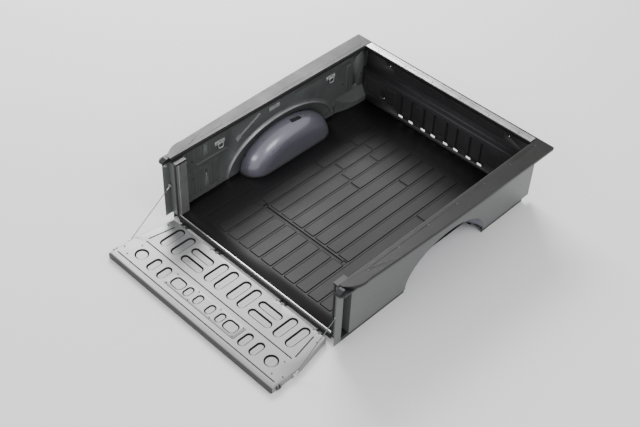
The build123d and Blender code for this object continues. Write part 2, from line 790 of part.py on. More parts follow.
with BuildPart() as latch_rod:
    with BuildSketch(Plane.YZ.offset(cup_half + 20)):
        with Locations((rod_y, latch_z - 2)):
            Circle(rod_radius)
    extrude(amount=half_gate - metal - 8 - cup_half - 20)
    fillet(latch_rod.edges(), radius=1)
export_pair(latch_rod.part, "latch_rod")

with BuildPart() as tailgate_latch:
    with BuildSketch(Plane.YZ.offset(half_gate)):
        with Locations((latch_y, 25)):
            RectangleRounded(38, 38, 5)
        with Locations((latch_y, latch_z)):
            Circle(striker_radius + 1, mode=Mode.SUBTRACT)
        with Locations((latch_y, latch_z + 15)):
            Rectangle(2 * striker_radius + 2, 30, mode=Mode.SUBTRACT)
    extrude(amount=12)
export_pair(tailgate_latch.part, "tailgate_latch")

with BuildPart() as cable_stud:
    with BuildSketch(Plane.YZ.offset(half_gate)):
        with Locations(cable_foot):
            Circle(stud_radius)
    extrude(amount=cable_x - half_gate + 7)
    with BuildSketch(Plane.YZ.offset(half_gate)):
        with Locations(cable_foot):
            Circle(9)
    extrude(amount=6)
    with BuildSketch(Plane.YZ.offset(cable_x + 4)):
        with Locations(cable_foot):
            RegularPolygon(radius=9, side_count=6)
    extrude(amount=5)
export_pair(cable_stud.part, "cable_stud")

with BuildPart() as tailgate_top_cap:
    with BuildSketch(Plane.YZ.offset(-half_gate)):
        with BuildLine():
            near, far = tray_far - gap, -tailgate_reach
            upper = [(near, gate_top), (far + 4, gate_top), (far, gate_top - 4)]
            Polyline(*upper, (far, 3), (far + 3, 0.5), (near, 0.5), close=True)
        make_face()
    extrude(amount=2 * half_gate)
export(tailgate_top_cap.part, "tailgate_top_cap")

access_screws = [(x, y) for x in (-338, -112, 112, 338) for y in (access_near - 12, access_far + 12)]
with BuildPart() as tailgate_access_panel:
    with BuildSketch(Plane.XY.offset(gate_top)):
        with Locations((0, (access_near + access_far) / 2)):
            RectangleRounded(2 * access_half_width, access_near - access_far, 12)
    extrude(amount=metal)
    with BuildSketch(Plane.XY.offset(gate_top + metal)):
        for x, width in ((62, 62), (165, 62), (268, 104)):
            with Locations((x, -441), (-x, -441)):
                RectangleRounded(width, 88, 20)
    extrude(amount=-emboss, mode=Mode.SUBTRACT)
export(tailgate_access_panel.part, "tailgate_access_panel")

edge_screws = both_sides([(734, -388), (746, -515), (816, -483), (768, -120)])
with BuildPart() as tailgate_screws:
    with Locations(*[(x, y, gate_top + metal) for x, y in access_screws]):
        Cylinder(6, 3, align=(Align.CENTER, Align.CENTER, Align.MIN))
    with Locations(*[(x, y, gate_top) for x, y in edge_screws]):
        Cylinder(6, 3, align=(Align.CENTER, Align.CENTER, Align.MIN))
export(tailgate_screws.part, "tailgate_screws")
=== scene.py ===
"""Looks for the pickup bed lining set: detailed pressed and moulded pieces, materials, light and camera.

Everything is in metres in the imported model's frame: X to the right-hand side, Y forward to the bulkhead,
Z up. The origin is the middle of the floor's rear edge, on the floor pan's underside.
"""

import json
import random
from math import cos, pi, radians, sin

import bmesh
import bpy
from mathutils import Matrix, Vector


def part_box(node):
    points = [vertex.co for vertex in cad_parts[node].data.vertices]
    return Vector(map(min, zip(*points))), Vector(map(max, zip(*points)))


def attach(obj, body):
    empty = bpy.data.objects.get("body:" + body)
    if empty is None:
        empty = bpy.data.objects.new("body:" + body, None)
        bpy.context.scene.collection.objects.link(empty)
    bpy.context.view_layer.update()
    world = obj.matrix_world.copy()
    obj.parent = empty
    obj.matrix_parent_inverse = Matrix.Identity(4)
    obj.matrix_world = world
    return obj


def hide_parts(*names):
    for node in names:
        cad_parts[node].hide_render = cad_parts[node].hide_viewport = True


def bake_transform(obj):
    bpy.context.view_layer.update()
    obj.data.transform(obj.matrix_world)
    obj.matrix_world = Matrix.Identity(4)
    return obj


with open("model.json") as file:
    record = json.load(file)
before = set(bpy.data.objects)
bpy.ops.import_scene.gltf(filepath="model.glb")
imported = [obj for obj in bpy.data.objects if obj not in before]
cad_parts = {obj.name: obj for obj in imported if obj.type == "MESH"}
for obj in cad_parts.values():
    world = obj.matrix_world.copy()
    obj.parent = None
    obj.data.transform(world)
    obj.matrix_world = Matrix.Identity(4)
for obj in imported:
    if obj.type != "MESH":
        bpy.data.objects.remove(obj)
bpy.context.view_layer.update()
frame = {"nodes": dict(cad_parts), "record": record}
nodes = frame["nodes"]
slot_colour = {m["slot"]: m["base_color"] for m in frame["record"]["materials"]}
SIDES = {"left": -1, "right": 1}

# ---- levels and lines read from the frame ----
mat_low, mat_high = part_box("floor_mat")
pan_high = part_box("floor_pan")[1]
bulkhead_low, bulkhead_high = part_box("bulkhead_panel")
gate_low, gate_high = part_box("tailgate_panel")
well_low, well_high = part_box("wheel_well_cover_right")
panel_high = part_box("side_panel_right")[1]
access_low, access_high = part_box("tailgate_access_panel")
rail_low, rail_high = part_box("rail_cap_right")
cap_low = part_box("bulkhead_cap")[0]

rib_height = 0.003
mat_top = mat_high.z - rib_height
wall_x = well_high.x + 0.0005
well_middle = (well_low.y + well_high.y) / 2
well_half = (well_high.y - well_low.y) / 2
well_rise = well_high.z - pan_high.z
joints = {joint["name"]: joint for joint in frame["record"]["behaviour"]["joints"]}
hinge_place = Vector(joints["tailgate_hinge"]["pos_m"])


# ======================================================================
# Materials
# ======================================================================

# factors on a finish's own colour: in rubbed patches, on worn convex edges, and for the painted shade on the
# slopes of pressed features
rubbed_tint, worn_tint, slope_shade_tint = 2.0, 2.2, 0.06
coat_roughness = 0.08


def add_node(tree, kind, inputs=None, **settings):
    """One shader node with its settings and input values; an input that is a socket gets linked."""
    node = tree.nodes.new(kind)
    for key, value in settings.items():
        setattr(node, key, value)
    for key, value in (inputs or {}).items():
        if isinstance(value, bpy.types.NodeSocket):
            tree.links.new(value, node.inputs[key])
        else:
            node.inputs[key].default_value = value
    return node


def new_material(name):
    """An empty node material and its Principled shader."""
    material = bpy.data.materials.new(name)
    material.use_nodes = True
    tree = material.node_tree
    return material, tree, tree.nodes["Principled BSDF"]


def tint(colour, factor):
    """One colour made darker or lighter, with its alpha."""
    return tuple(min(1.0, c * factor) for c in colour[:3]) + (1.0,)


def ramp(tree, factor, stops):
    """A colour ramp through (position, colour) stops."""
    node = add_node(tree, "ShaderNodeValToRGB", {"Fac": factor})
    elements = node.color_ramp.elements
    elements[0].position, elements[0].color = stops[0]
    elements[1].position, elements[1].color = stops[-1]
    for position, colour in stops[1:-1]:
        elements.new(position).color = colour
    return node.outputs["Color"]


def mix(tree, first, second, factor=1.0, blend="MIX"):
    """Two colours mixed; each may be a socket or a value."""
    node = add_node(tree, "ShaderNodeMix", data_type="RGBA", blend_type=blend)
    for slot, value in ((0, factor), (6, first), (7, second)):
        if isinstance(value, bpy.types.NodeSocket):
            tree.links.new(value, node.inputs[slot])
        else:
            node.inputs[slot].default_value = value
    return node.outputs[2]


def surface(slot, rough=(0.5, 0.6), metallic=0.0, patch=3.0, spread=(0.85, 1.12), grain=900.0,
            depth=0.00012, style="noise", stretch=(1, 1, 1), coat=0.0, scuff=0.0, specular=0.5,
            edge=0.0, slope_shade=0.0, shade=1.0):
    """A procedural finish for one material slot.

    patch is the size of the slow colour drift, grain the fine texture's scale and depth its height in metres.
    stretch pulls the grain along an axis, scuff mixes in pale rubbed patches, edge lightens worn convex
    edges, slope_shade paints shade on pressed slopes and dulls them, and shade scales the slot's own colour.
    """
    colour = tint(slot_colour[slot], shade)
    material, tree, shader = new_material(slot)
    place = add_node(tree, "ShaderNodeTexCoord").outputs["Object"]
    drift = add_node(tree, "ShaderNodeTexNoise",
                     {"Vector": place, "Scale": patch, "Detail": 5.0, "Roughness": 0.6})
    darkest, palest = (tint(colour, factor) for factor in spread)
    tone = ramp(tree, drift.outputs["Fac"], [(0.30, darkest), (0.70, palest)])
    stretched = add_node(tree, "ShaderNodeMapping", {"Vector": place, "Scale": stretch})
    texture = {"Vector": stretched.outputs["Vector"], "Scale": grain}
    if style == "cells":
        fine = add_node(tree, "ShaderNodeTexVoronoi", texture).outputs["Distance"]
    else:
        fine = add_node(tree, "ShaderNodeTexNoise", {**texture, "Detail": 3.0}).outputs["Fac"]
    speckle = ramp(tree, fine, [(0.2, (0.88, 0.88, 0.88, 1)), (0.7, (1, 1, 1, 1))])
    tone = mix(tree, tone, speckle, blend="MULTIPLY")
    if scuff:
        rubbed = add_node(tree, "ShaderNodeTexNoise", {"Vector": place, "Scale": 14.0, "Detail": 8.0,
                                                       "Roughness": 0.75})
        mask = ramp(tree, rubbed.outputs["Fac"], [(0.56, (0, 0, 0, 1)), (0.72, (scuff, scuff, scuff, 1))])
        tone = mix(tree, tone, tint(colour, rubbed_tint), mask)
    if edge:
        worn = add_node(tree, "ShaderNodeNewGeometry").outputs["Pointiness"]
        mask = ramp(tree, worn, [(0.505, (0, 0, 0, 1)), (0.56, (edge, edge, edge, 1))])
        tone = mix(tree, tone, tint(colour, worn_tint), mask)
    # painted shade: the slope_shade attribute darkens the slopes of pressed features
    if slope_shade:
        slope_shading = add_node(tree, "ShaderNodeAttribute", attribute_name="slope_shade").outputs["Fac"]
        mask = ramp(tree, slope_shading, [(0.0, (0, 0, 0, 1)), (0.9, (slope_shade, slope_shade, slope_shade, 1))])
        tone = mix(tree, tone, tint(colour, slope_shade_tint), mask)
    tree.links.new(tone, shader.inputs["Base Color"])
    gloss = add_node(tree, "ShaderNodeMapRange", {"Value": drift.outputs["Fac"], "From Min": 0.3,
                                                  "From Max": 0.7, "To Min": rough[0], "To Max": rough[1]})
    dullness = gloss.outputs["Result"]
    if slope_shade:
        dulled = add_node(tree, "ShaderNodeMath", {0: dullness, 1: slope_shading}, operation="ADD",
                          use_clamp=True)
        dullness = dulled.outputs["Value"]
    tree.links.new(dullness, shader.inputs["Roughness"])
    shader.inputs["Metallic"].default_value = metallic
    shader.inputs["Specular IOR Level"].default_value = specular
    shader.inputs["Coat Weight"].default_value = coat
    shader.inputs["Coat Roughness"].default_value = coat_roughness
    bump = add_node(tree, "ShaderNodeBump", {"Height": fine, "Strength": 1.0, "Distance": depth})
    tree.links.new(bump.outputs["Normal"], shader.inputs["Normal"])
    return material


# slope_shade sets how dark the painted shade on the slopes of pressed features is
materials = {
    "mat_rubber": surface("mat_rubber", (0.40, 0.52), patch=1.6, spread=(0.80, 1.18), grain=700,
                          depth=0.0002, style="cells", scuff=0.15, edge=0.1, slope_shade=0.9, shade=0.20,
                          specular=0.24),
    "pan_metal": surface("pan_metal", (0.45, 0.60), 0.3, grain=1500, depth=0.00003, shade=0.12),
    "side_plastic": surface("side_plastic", (0.34, 0.46), patch=2.2, spread=(0.80, 1.15), grain=1200,
                            depth=0.00010, style="cells", scuff=0.2, edge=0.3, slope_shade=0.4, shade=1.8),
    "well_plastic": surface("well_plastic", (0.26, 0.34), 0.5, patch=4, spread=(0.94, 1.06), grain=160,
                            depth=0.00002, coat=0.8, shade=3.8),
    "bulkhead_plastic": surface("bulkhead_plastic", (0.42, 0.54), patch=2.5, grain=1200, depth=0.00010,
                                style="cells", scuff=0.12, edge=0.3, slope_shade=0.9, shade=1.05),
    "rail_plastic": surface("rail_plastic", (0.30, 0.40), patch=5, spread=(0.88, 1.10), grain=1000,
                            depth=0.0001, style="cells", edge=0.2, shade=0.11, specular=0.32),
    "end_cap_plastic": surface("end_cap_plastic", (0.40, 0.50), grain=1100, depth=0.00012, style="cells"),
    "edge_plastic": surface("edge_plastic", (0.38, 0.50), grain=1100, depth=0.00012, style="cells"),
    "bright_trim": surface("bright_trim", (0.26, 0.36), 0.8, patch=9, spread=(0.85, 1.05), grain=260,
                           depth=0.000004, stretch=(0.02, 1, 1), slope_shade=0.8),
    "ribbed_trim": surface("ribbed_trim", (0.26, 0.36), 0.8, patch=9, spread=(0.85, 1.05), grain=260,
                           depth=0.000004, stretch=(0.02, 1, 1)),
    "tailgate_metal": surface("tailgate_metal", (0.30, 0.40), 0.35, patch=2, spread=(0.94, 1.05), grain=2500,
                              depth=0.00001, slope_shade=1.0, shade=0.58),
    "seal_rubber": surface("seal_rubber", (0.55, 0.70), grain=900, depth=0.0001),
    "zinc_steel": surface("zinc_steel", (0.30, 0.45), 0.6, patch=40, spread=(0.8, 1.2), grain=400,
                          depth=0.00004, shade=1.5),
    "hinge_steel": surface("hinge_steel", (0.40, 0.55), 0.7, patch=30, spread=(0.8, 1.15), grain=400,
                           depth=0.00004, shade=0.35),
    "screw_steel": surface("screw_steel", (0.35, 0.50), 0.7, patch=60, grain=500, depth=0.00003, shade=0.30),
    "clip_plastic": surface("clip_plastic", (0.45, 0.55), grain=1200, depth=0.0001),
    "handle_plastic": surface("handle_plastic", (0.40, 0.50), grain=1200, depth=0.00012, style="cells"),
    "cable_steel": surface("cable_steel", (0.30, 0.42), 0.6, patch=50, grain=900, depth=0.00008),
}
node_slot = {entry["node"]: entry["material_slot"] for entry in frame["record"]["subparts"]}
for name, obj in nodes.items():
    obj.data.materials.clear()
    obj.data.materials.append(materials[node_slot[name]])


# ======================================================================
# Outlines and mesh helpers
# ======================================================================


def flat(*points):
    """Plane vectors from coordinate pairs."""
    return [Vector(point) for point in points]


def block(middle, size, radius, turn=0.0, steps=6):
    """An anticlockwise rectangle with round corners; a radius of half its width makes a slot or a disc."""
    half = Vector(size) / 2
    points = []
    for corner, (x, y) in enumerate(((1, 1), (-1, 1), (-1, -1), (1, -1))):
        for step in range(steps + 1):
            angle = (corner + step / steps) * pi / 2
            points.append(Vector((x * (half.x - radius) + radius * cos(angle),
                                  y * (half.y - radius) + radius * sin(angle))))
    kept = [p for p, before in zip(points, points[-1:] + points) if (p - before).length > 1e-6]
    return [Vector(middle) + Matrix.Rotation(turn, 2) @ point for point in kept]


def inset(points, distance):
    """A closed anticlockwise outline moved inwards by a distance."""
    result = []
    for before, point, after in zip(points[-1:] + points, points, points[1:] + points[:1]):
        first = (point - before).normalized()
        turn = first + (after - point).normalized()
        inward = Vector((-turn.y, turn.x)).normalized()
        share = max(0.3, inward.dot(Vector((-first.y, first.x))))
        result.append(point + inward * distance / share)
    return result


def vertex_ring(mesh, points, place, height=0.0, slope_shade=0.0):
    """One ring of vertices, set out by a place function of two flat coordinates and a height.

    slope_shade, from 0 to 1, says how much painted shade the finish holds there, and how much duller it is.
    """
    layer = mesh.verts.layers.float.get("slope_shade") or mesh.verts.layers.float.new("slope_shade")
    ring = [mesh.verts.new(place(point[0], point[1], height)) for point in points]
    for vertex in ring:
        vertex[layer] = slope_shade
    return ring


def bridge(mesh, rings, closed=True):
    """Quads between each ring and the next."""
    faces = []
    for outer, inner in zip(rings, rings[1:]):
        for index in range(0 if closed else 1, len(outer)):
            faces.append(mesh.faces.new((outer[index - 1], outer[index], inner[index], inner[index - 1])))
    return faces


def ease(t):
    """A smooth step from 0 to 1."""
    t = min(1.0, max(0.0, t))
    return t * t * (3 - 2 * t)


def pressed(mesh, outline, features, place, holes=(), edge_rings=()):
    """A sheet inside an outline, with features pressed into it and holes left open.

    A feature is (outline, height, slope width, weight of the painted shade on the slope), and its height is
    negative where it is sunk. edge_rings are (inset, height) pairs that round the sheet's rim over and down.
    """
    def border(ring):
        return [mesh.edges.new(pair) for pair in zip(ring, ring[1:] + ring[:1])]

    rim = vertex_ring(mesh, outline, place)
    open_edges = border(rim)
    if edge_rings:
        bridge(mesh, [rim] + [vertex_ring(mesh, inset(outline, i), place, h) for i, h in edge_rings])
    for points in holes:
        open_edges += border(vertex_ring(mesh, points, place))
    for points, height, slope, shade_weight in features:
        margin = vertex_ring(mesh, inset(points, -0.0015), place)
        # painted shade on each feature's slope, strongest in the middle of the slope
        slopes = [vertex_ring(mesh, inset(points, slope * t), place, height * ease(t), slope_shade * shade_weight)
                  for t, slope_shade in ((0, 0.6), (0.25, 1), (0.5, 1), (0.75, 1), (1, 0.6))]
        floor = vertex_ring(mesh, inset(points, slope + 0.001), place, height)
        open_edges += border(margin)
        bridge(mesh, [margin, *slopes, floor])
        mesh.faces.new(floor)
    bmesh.ops.triangle_fill(mesh, edges=open_edges, use_beauty=True)


def piece_from(mesh, name, body, slot, replaced=(), thickness=0.0, facing=None, smooth_angle=40):
    """An object made from a mesh, with its finish, its body and the CAD nodes that it stands for.

    facing is the way that an open sheet looks; a closed mesh needs none.
    """
    bmesh.ops.recalc_face_normals(mesh, faces=mesh.faces)
    if facing and sum(face.calc_area() * face.normal.dot(Vector(facing)) for face in mesh.faces) < 0:
        bmesh.ops.reverse_faces(mesh, faces=mesh.faces)
    data = bpy.data.meshes.new(name)
    mesh.to_mesh(data)
    mesh.free()
    data.shade_smooth()
    data.set_sharp_from_angle(angle=radians(smooth_angle))
    data.materials.append(materials[slot])
    piece = bpy.data.objects.new(name, data)
    bpy.context.scene.collection.objects.link(piece)
    if thickness:
        solid = piece.modifiers.new("thickness", "SOLIDIFY")
        solid.thickness = thickness
        solid.offset = -1
    if body:
        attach(piece, body)
    if replaced:
        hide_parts(*replaced)
    return piece


# ======================================================================
# Floor mat: broad ribs of uneven lengths and a sunk cross channel
# ======================================================================

rib_pitch = 0.118
rib_width = 0.105
rib_joint = 0.006
rib_start, rib_end = 0.130, 1.800
cross_line = 0.540
cross_reach = (-0.425, 0.385)
rib_slope = 0.006
cross_gap = 0.021  # from the cross channel's line to the ribs' ends
cross_width, cross_pocket, cross_depth = 0.016, 0.034, 0.0045
mat_half = mat_high.x
post_inner, post_front = 0.777, 0.104
foot_rear, foot_inner = 1.745, 0.801
well_gap = 0.008
well_corner = 0.130
well_clearance = 0.045


def mat_outline():
    """Plan of the mat around the rear posts, the wheel wells and the front feet, anticlockwise."""
    inner = well_low.x - well_gap
    near, far = well_low.y - well_gap, well_high.y + well_gap
    radius = well_corner + well_gap
    right = [(post_inner, 0), (post_inner, post_front), (mat_half, post_front), (mat_half, near)]
    for centre_y, start in ((near + radius, 270), (far - radius, 180)):
        for step in range(9):
            angle = radians(start - step * 90 / 8)
            right.append((inner + radius + radius * cos(angle), centre_y + radius * sin(angle)))
    right += [(mat_half, far), (mat_half, foot_rear)]
    right += [(0.850 - 0.049 * ease((y - 1.66) / 0.30), y) for y in (1.78, 1.82, 1.86, 1.90, 1.94)]
    right.append((foot_inner, mat_high.y))
    return flat(*right, *[(-x, y) for x, y in reversed(right)])


def rib_lengths(column, low, high, chance):
    """A rib column cut into uneven lengths, as (start, end) pairs; the left half has shorter ones."""
    shortest, longest = (0.30, 0.80) if column < 0 else (0.70, 1.60)
    cuts = [low]
    while cuts[-1] < high:
        cuts.append(cuts[-1] + chance.uniform(shortest, longest))
    if high - cuts[-2] < 0.15:
        cuts.pop(-2)
    cuts[-1] = high
    return list(zip(cuts, cuts[1:]))


def rib_spans(x):
    """Where the ribs at one distance across the mat start and end, clear of the wheel wells."""
    if abs(x) > well_low.x - rib_width:
        return [(rib_start, well_low.y - well_clearance), (well_high.y + well_clearance, rib_end)]
    if cross_reach[0] - rib_pitch / 2 < x < cross_reach[1] + rib_pitch / 2:
        return [(rib_start, cross_line - cross_gap), (cross_line + cross_gap, rib_end)]
    return [(rib_start, rib_end)]


def make_mat():
    """The mat with raised ribs and a sunk cross channel that ends in a square pocket on each side."""
    chance = random.Random(11)
    features = []
    for column in range(-6, 7):
        x = column * rib_pitch
        # painted shade on the rib slopes, stronger on the right half of the mat than on the left
        shade_weight = 0.75 if column > -2 else 0.25
        for low, high in rib_spans(x):
            for start, end in rib_lengths(column, low, high, chance):
                outline = block((x, (start + end) / 2), (rib_width, end - start - rib_joint), 0.010, steps=3)
                features.append((outline, rib_height, rib_slope, shade_weight))
    length = cross_reach[1] - cross_reach[0] - 0.045
    channel = block((sum(cross_reach) / 2, cross_line), (length, cross_width), 0.0079, steps=3)
    pockets = [block((x, cross_line), (cross_pocket, cross_pocket), 0.005, steps=3) for x in cross_reach]
    features += [(outline, -cross_depth, 0.005, 0.8) for outline in (channel, *pockets)]
    mesh = bmesh.new()
    pressed(mesh, mat_outline(), features, lambda x, y, h: (x, y, mat_top + h))
    thickness = mat_top - mat_low.z - 0.0005
    piece_from(mesh, "ribbed_floor_mat", "bed_lining", "mat_rubber", ("floor_mat",), thickness, (0, 0, 1))


make_mat()

# ======================================================================
# Wheel-well covers: elongated glossy domes with a lip and a dark rubber seal round the foot that also paints
# the contact shade there
# ======================================================================

dome_rounding = 0.145
dome_power = 2.25
dome_columns = 72


def dome_section(steps):
    """Section of the dome from the wall to its flat inner face, as (x, inset) pairs."""
    section = [(wall_x - 0.0005, 0.0)]
    for step in range(steps + 1):
        angle = step / steps * pi / 2
        bulge = cos(angle) ** (2 / dome_power)
        rise = sin(angle) ** (2 / dome_power)
        section.append((well_low.x + dome_rounding * (1 - rise), dome_rounding * (1 - bulge)))
    return section


def dome_point(sign, x, pulled, angle):
    """A point of the dome: angle runs from its rear foot over the top to its front foot."""
    arch = sin(angle) ** 0.92 * (1 + 0.018 * sin(angle) * (1 - pulled / dome_rounding)) * 0.982
    return Vector((sign * x, well_middle - (well_half - pulled) * cos(angle),
                   pan_high.z + (well_rise - 0.94 * pulled) * arch))


def make_dome(side, sign):
    """One wheel-well cover: the domed shell and its flat inner face, which narrows to a hub."""
    mesh = bmesh.new()
    angles = [pi * step / dome_columns for step in range(dome_columns + 1)]
    rings = [[mesh.verts.new(dome_point(sign, x, pulled, angle)) for angle in angles]
             for x, pulled in dome_section(18)]
    bridge(mesh, rings, closed=False)
    hub = Vector((0, well_middle, pan_high.z))
    for shrink in (0.8, 0.5, 0.2):
        flatten = Matrix.Diagonal((1, shrink, shrink))
        ring = [mesh.verts.new(hub + flatten @ (vertex.co - hub)) for vertex in rings[-1]]
        rings.append(ring)
    bridge(mesh, rings[-4:-2], closed=False)
    bridge(mesh, rings[-3:], closed=False)
    mesh.faces.new(rings[-1])
    piece_from(mesh, f"wheel_well_dome_{side}", "bed_lining", "well_plastic", (f"wheel_well_cover_{side}",),
               0.004, (-sign, 0, 1))


def foot_line(grow):
    """Plan of the dome's foot on the mat, from the wall round to the wall, grown by a margin."""
    near = [(x - grow * pulled / dome_rounding, well_low.y + pulled - grow * (1 - pulled / dome_rounding))
            for x, pulled in dome_section(10)]
    return near + [(x, 2 * well_middle - y) for x, y in reversed(near)]


def make_well_shade_seal(side, sign):
    """A low rubber lip between the dome's foot and the mat, whose dark colour also paints the contact shade
    round the foot.
    """
    mesh = bmesh.new()
    profile = ((-0.003, 0.000), (-0.003, 0.007), (0.003, 0.009), (0.010, 0.0055), (0.013, 0.000))
    rings = [[mesh.verts.new((sign * x, y, mat_top + height)) for x, y in foot_line(grow)]
             for grow, height in profile]
    bridge(mesh, rings, closed=False)
    piece_from(mesh, f"wheel_well_shade_seal_{side}", "bed_lining", "seal_rubber", (), 0.0015, (0, 0, 1))


def make_badge(side, sign):
    """A small blank plate on the dome's top."""
    mesh = bmesh.new()
    x, pulled = dome_section(18)[4]
    angle = pi * 0.565
    seat = dome_point(sign, x, pulled, angle)
    ahead = (dome_point(sign, x, pulled, angle + 0.05) - seat).normalized()
    outline = block((0, 0), (0.034, 0.100), 0.006)
    sunk = [(block((0, 0), (0.028, 0.094), 0.004), -0.0008, 0.001, 0)]

    def place(u, v, h):
        return seat + Vector((u, 0, h + 0.003)) + ahead * v

    pressed(mesh, outline, sunk, place, (), ((-0.001, -0.0006), (-0.001, -0.008)))
    piece_from(mesh, f"wheel_well_plate_{side}", "bed_lining", "edge_plastic", (), 0, (0, 0, 1))


for side, sign in SIDES.items():
    make_dome(side, sign)
    make_well_shade_seal(side, sign)
    make_badge(side, sign)

# ======================================================================
# Side wall skins, pressed over the side panels' walls
# ======================================================================

skin_gap = 0.0012
skin_rear, skin_front = 0.101, bulkhead_high.y - 0.005
skin_top = panel_high.z - 0.004
bolt_places = ((0.330, 0.230), (0.330, 0.500), (1.950, 0.230), (1.950, 0.500))
bolt_hole = 0.009


def wall_features():
    """Swage, ribs and soft upright bands of one wall, in distance along it and height."""
    soft = 0.012
    # the last number of each feature is the weight of the painted shade on its slopes
    features = [
        (block((0.390, 0.358), (0.306, 0.026), 0.0129), 0.0075, 0.006, 0.3),
        (block((1.712, 0.510), (0.058, 0.072), 0.014), 0.0075, 0.007, 0.3),
        (block((1.868, 0.336), (0.068, 0.258), 0.016), 0.0075, 0.007, 0.3),
        (block((1.400, 0.517), (0.300, 0.050), 0.012), 0.0035, 0.010, 0.3),
        (block((1.820, 0.522), (0.120, 0.060), 0.010), 0.0035, 0.010, 0.3),
    ]
    for y in (0.165, 0.225, 0.285, 0.375, 0.435):
        features.append((block((y, 0.205), (0.044, 0.235), 0.018), 0.0035, soft, 0.4))
    for y in (0.165, 0.225, 0.285, 0.375):
        features.append((block((y, 0.468), (0.044, 0.150), 0.018), 0.0035, soft, 0.4))
    for y, z, height in ((0.515, 0.512, 0.055), (0.570, 0.500, 0.080)):
        features.append((block((y, z), (0.036, height), 0.012), 0.003, 0.010, 0.3))
    return features


def make_wall_skin(side, sign):
    """One wall's pressed skin, cut out round the wheel well."""
    mesh = bmesh.new()
    reach, rise = well_half - 0.006, well_rise - 0.006
    base = pan_high.z + 0.001
    arch = [(well_middle - reach * cos(pi * k / 40), base + rise * sin(pi * k / 40)) for k in range(41)]
    outline = flat((skin_rear, base), *arch, (skin_front, base), (skin_front, skin_top),
                   (skin_rear, skin_top))
    holes = [block(place, (bolt_hole, bolt_hole), bolt_hole / 2, steps=4) for place in bolt_places]
    pressed(mesh, outline, wall_features(), lambda y, z, h: (sign * (wall_x - skin_gap - h), y, z), holes)
    piece_from(mesh, f"side_wall_skin_{side}", "bed_lining", "side_plastic", (), 0.001, (-sign, 0, 0))


for side, sign in SIDES.items():
    make_wall_skin(side, sign)

# ======================================================================
# Bulkhead: drained lower face with grooves, ledge and upper wall
# ======================================================================

drain_columns = [s * x for s in SIDES.values() for x in (0.065, 0.170, 0.300, 0.410)]
drain_z, drain_size = mat_top + 0.045, (0.045, 0.022)
groove_low, groove_high = mat_top + 0.066, mat_top + 0.257
lower_face = bulkhead_low.y
upper_face = bulkhead_high.y - 0.004
ledge_z = mat_top + 0.300
bulkhead_bolts = [(x, z) for x in (-0.6, 0.6) for z in (0.170, 0.470)]
field_widths = {0.0: 0.070, 0.235: 0.070, 0.530: 0.120, 0.735: 0.130}
ledge_turns = 0.010, 0.012  # radii of the ledge's outer edge and of its inner corner at the upper wall


def make_bulkhead():
    """The bulkhead in three joined runs: grooved lower face, rounded ledge and notched upper wall."""
    mesh = bmesh.new()
    half, foot, top = bulkhead_high.x, bulkhead_low.z, bulkhead_high.z
    turn_low, turn_high = ledge_z - 0.010, ledge_z + 0.016
    holes = [block((x, drain_z), drain_size, 0.006) for x in drain_columns]
    bolts = [(place, block(place, (bolt_hole, bolt_hole), bolt_hole / 2, steps=4))
             for place in bulkhead_bolts]
    holes += [outline for place, outline in bolts if place[1] < ledge_z]
    middle = (groove_low + groove_high) / 2
    # the grooves carry full painted shade on their slopes
    features = [(block((x, middle), (0.024, groove_high - groove_low), 0.0119), -0.008, 0.008, 1)
                for x in drain_columns]
    for x in (-0.735, -0.530, -0.235, 0.0, 0.235, 0.530, 0.735):
        features.append((block((x, middle + 0.01), (field_widths[abs(x)], 0.150), 0.02), 0.003, 0.014, 0.3))
    rectangle = flat((-half, foot), (half, foot), (half, turn_low), (-half, turn_low))
    pressed(mesh, rectangle, features, lambda x, z, h: (x, lower_face - h, z), holes)
    edge, fillet = ledge_turns
    profile = [(lower_face, turn_low)]
    profile += [(lower_face + edge * (1 - cos(radians(a))), turn_low + edge * sin(radians(a)))
                for a in range(15, 91, 15)]
    profile += [(upper_face - fillet * (1 - sin(radians(a))), turn_high - fillet * cos(radians(a)))
                for a in range(0, 91, 15)]
    rings = [[mesh.verts.new((x, y, z)) for x in (-half, half)] for y, z in profile]
    bridge(mesh, rings, closed=False)
    notch_x, notch_z = rail_low.x - 0.0005, rail_low.z - 0.0005
    upper = flat((-half, turn_high), (half, turn_high), (half, notch_z), (notch_x, notch_z), (notch_x, top),
                 (-notch_x, top), (-notch_x, notch_z), (-half, notch_z))
    holes = [outline for place, outline in bolts if place[1] > ledge_z]
    swell = [(block((x, 0.455), (0.530, 0.085), 0.02), 0.004, 0.016, 0.3) for x in (-0.290, 0.290)]
    pressed(mesh, upper, swell, lambda x, z, h: (x, upper_face - h, z), holes)
    bmesh.ops.remove_doubles(mesh, verts=mesh.verts, dist=1e-5)
    piece_from(mesh, "bulkhead_pressing", "bed_lining", "bulkhead_plastic", ("bulkhead_panel",), 0.004,
               (0, -1, 0), 50)


make_bulkhead()

# ======================================================================
# Tailgate: pressed inner skin, access panel, hinge knuckles
# ======================================================================

gate_top = gate_high.z
gate_rim = 0.005
press_depth = 0.010
press_slope = 0.0105
stations = (-0.700, -0.340, 0.340, 0.700)
ear_shift = 0.0255
notch_half, notch_depth = 0.006, 0.0085
gate_near, gate_shoulder, gate_slant = -0.050, -0.340, 0.055
knuckle_radius, knuckle_width = 0.010, 0.038
tab_size = (knuckle_width, 0.009, 0.016)


def gate_outline():
    """Plan of the tailgate, with its slanted ends and the notches for the bracket ears, anticlockwise."""
    half, near, far = gate_high.x, gate_near, gate_low.y
    slanted = half - gate_slant
    points = [(half, far), (half, gate_shoulder), (slanted, near)]
    for station in reversed(stations):
        for x in (station + ear_shift, station - ear_shift):
            points += [(x + notch_half, near), (x + notch_half, near - notch_depth)]
            points += [(x - notch_half, near - notch_depth), (x - notch_half, near)]
    return flat(*points, (-slanted, near), (-half, gate_shoulder), (-half, far))


